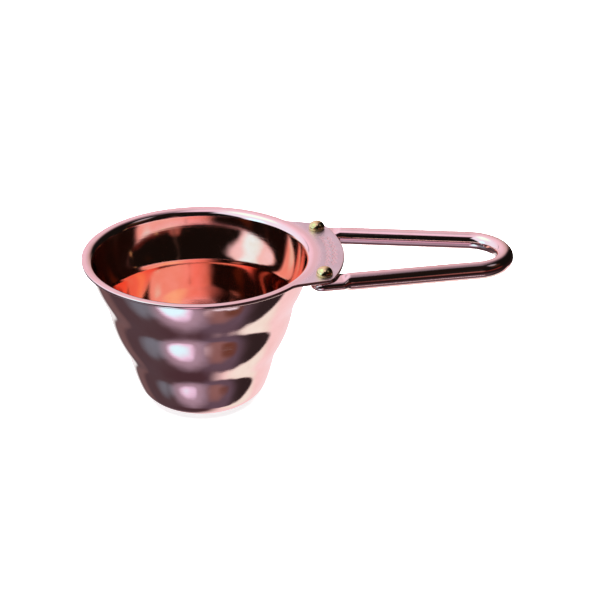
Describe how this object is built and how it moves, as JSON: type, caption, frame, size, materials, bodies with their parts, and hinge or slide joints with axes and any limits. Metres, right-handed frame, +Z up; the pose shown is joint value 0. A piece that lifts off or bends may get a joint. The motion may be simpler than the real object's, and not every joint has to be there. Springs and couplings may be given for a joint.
{
  "type": "single-cup bar measure",
  "caption": "Small flared metal measuring cup with rounded bulges, a flat rim and tab, and a riveted loop handle of round wire.",
  "frame": {"origin": "centre of the cup's flat base, on the underside that it stands on", "axes": "+Z up along the cup's axis, +X from the cup towards the end of the loop handle"},
  "size_m": [0.1008, 0.055, 0.0388],
  "materials": {
    "cup_copper": "polished rose-copper plating on steel sheet",
    "wire_copper": "polished rose-copper plating on round steel wire",
    "rivet_brass": "bright turned brass"
  },
  "bodies": {
    "root": {"cup_with_tab": "cup_copper", "wire_handle": "wire_copper", "rivet_far": "rivet_brass", "rivet_near": "rivet_brass"}
  },
  "joints": []
}
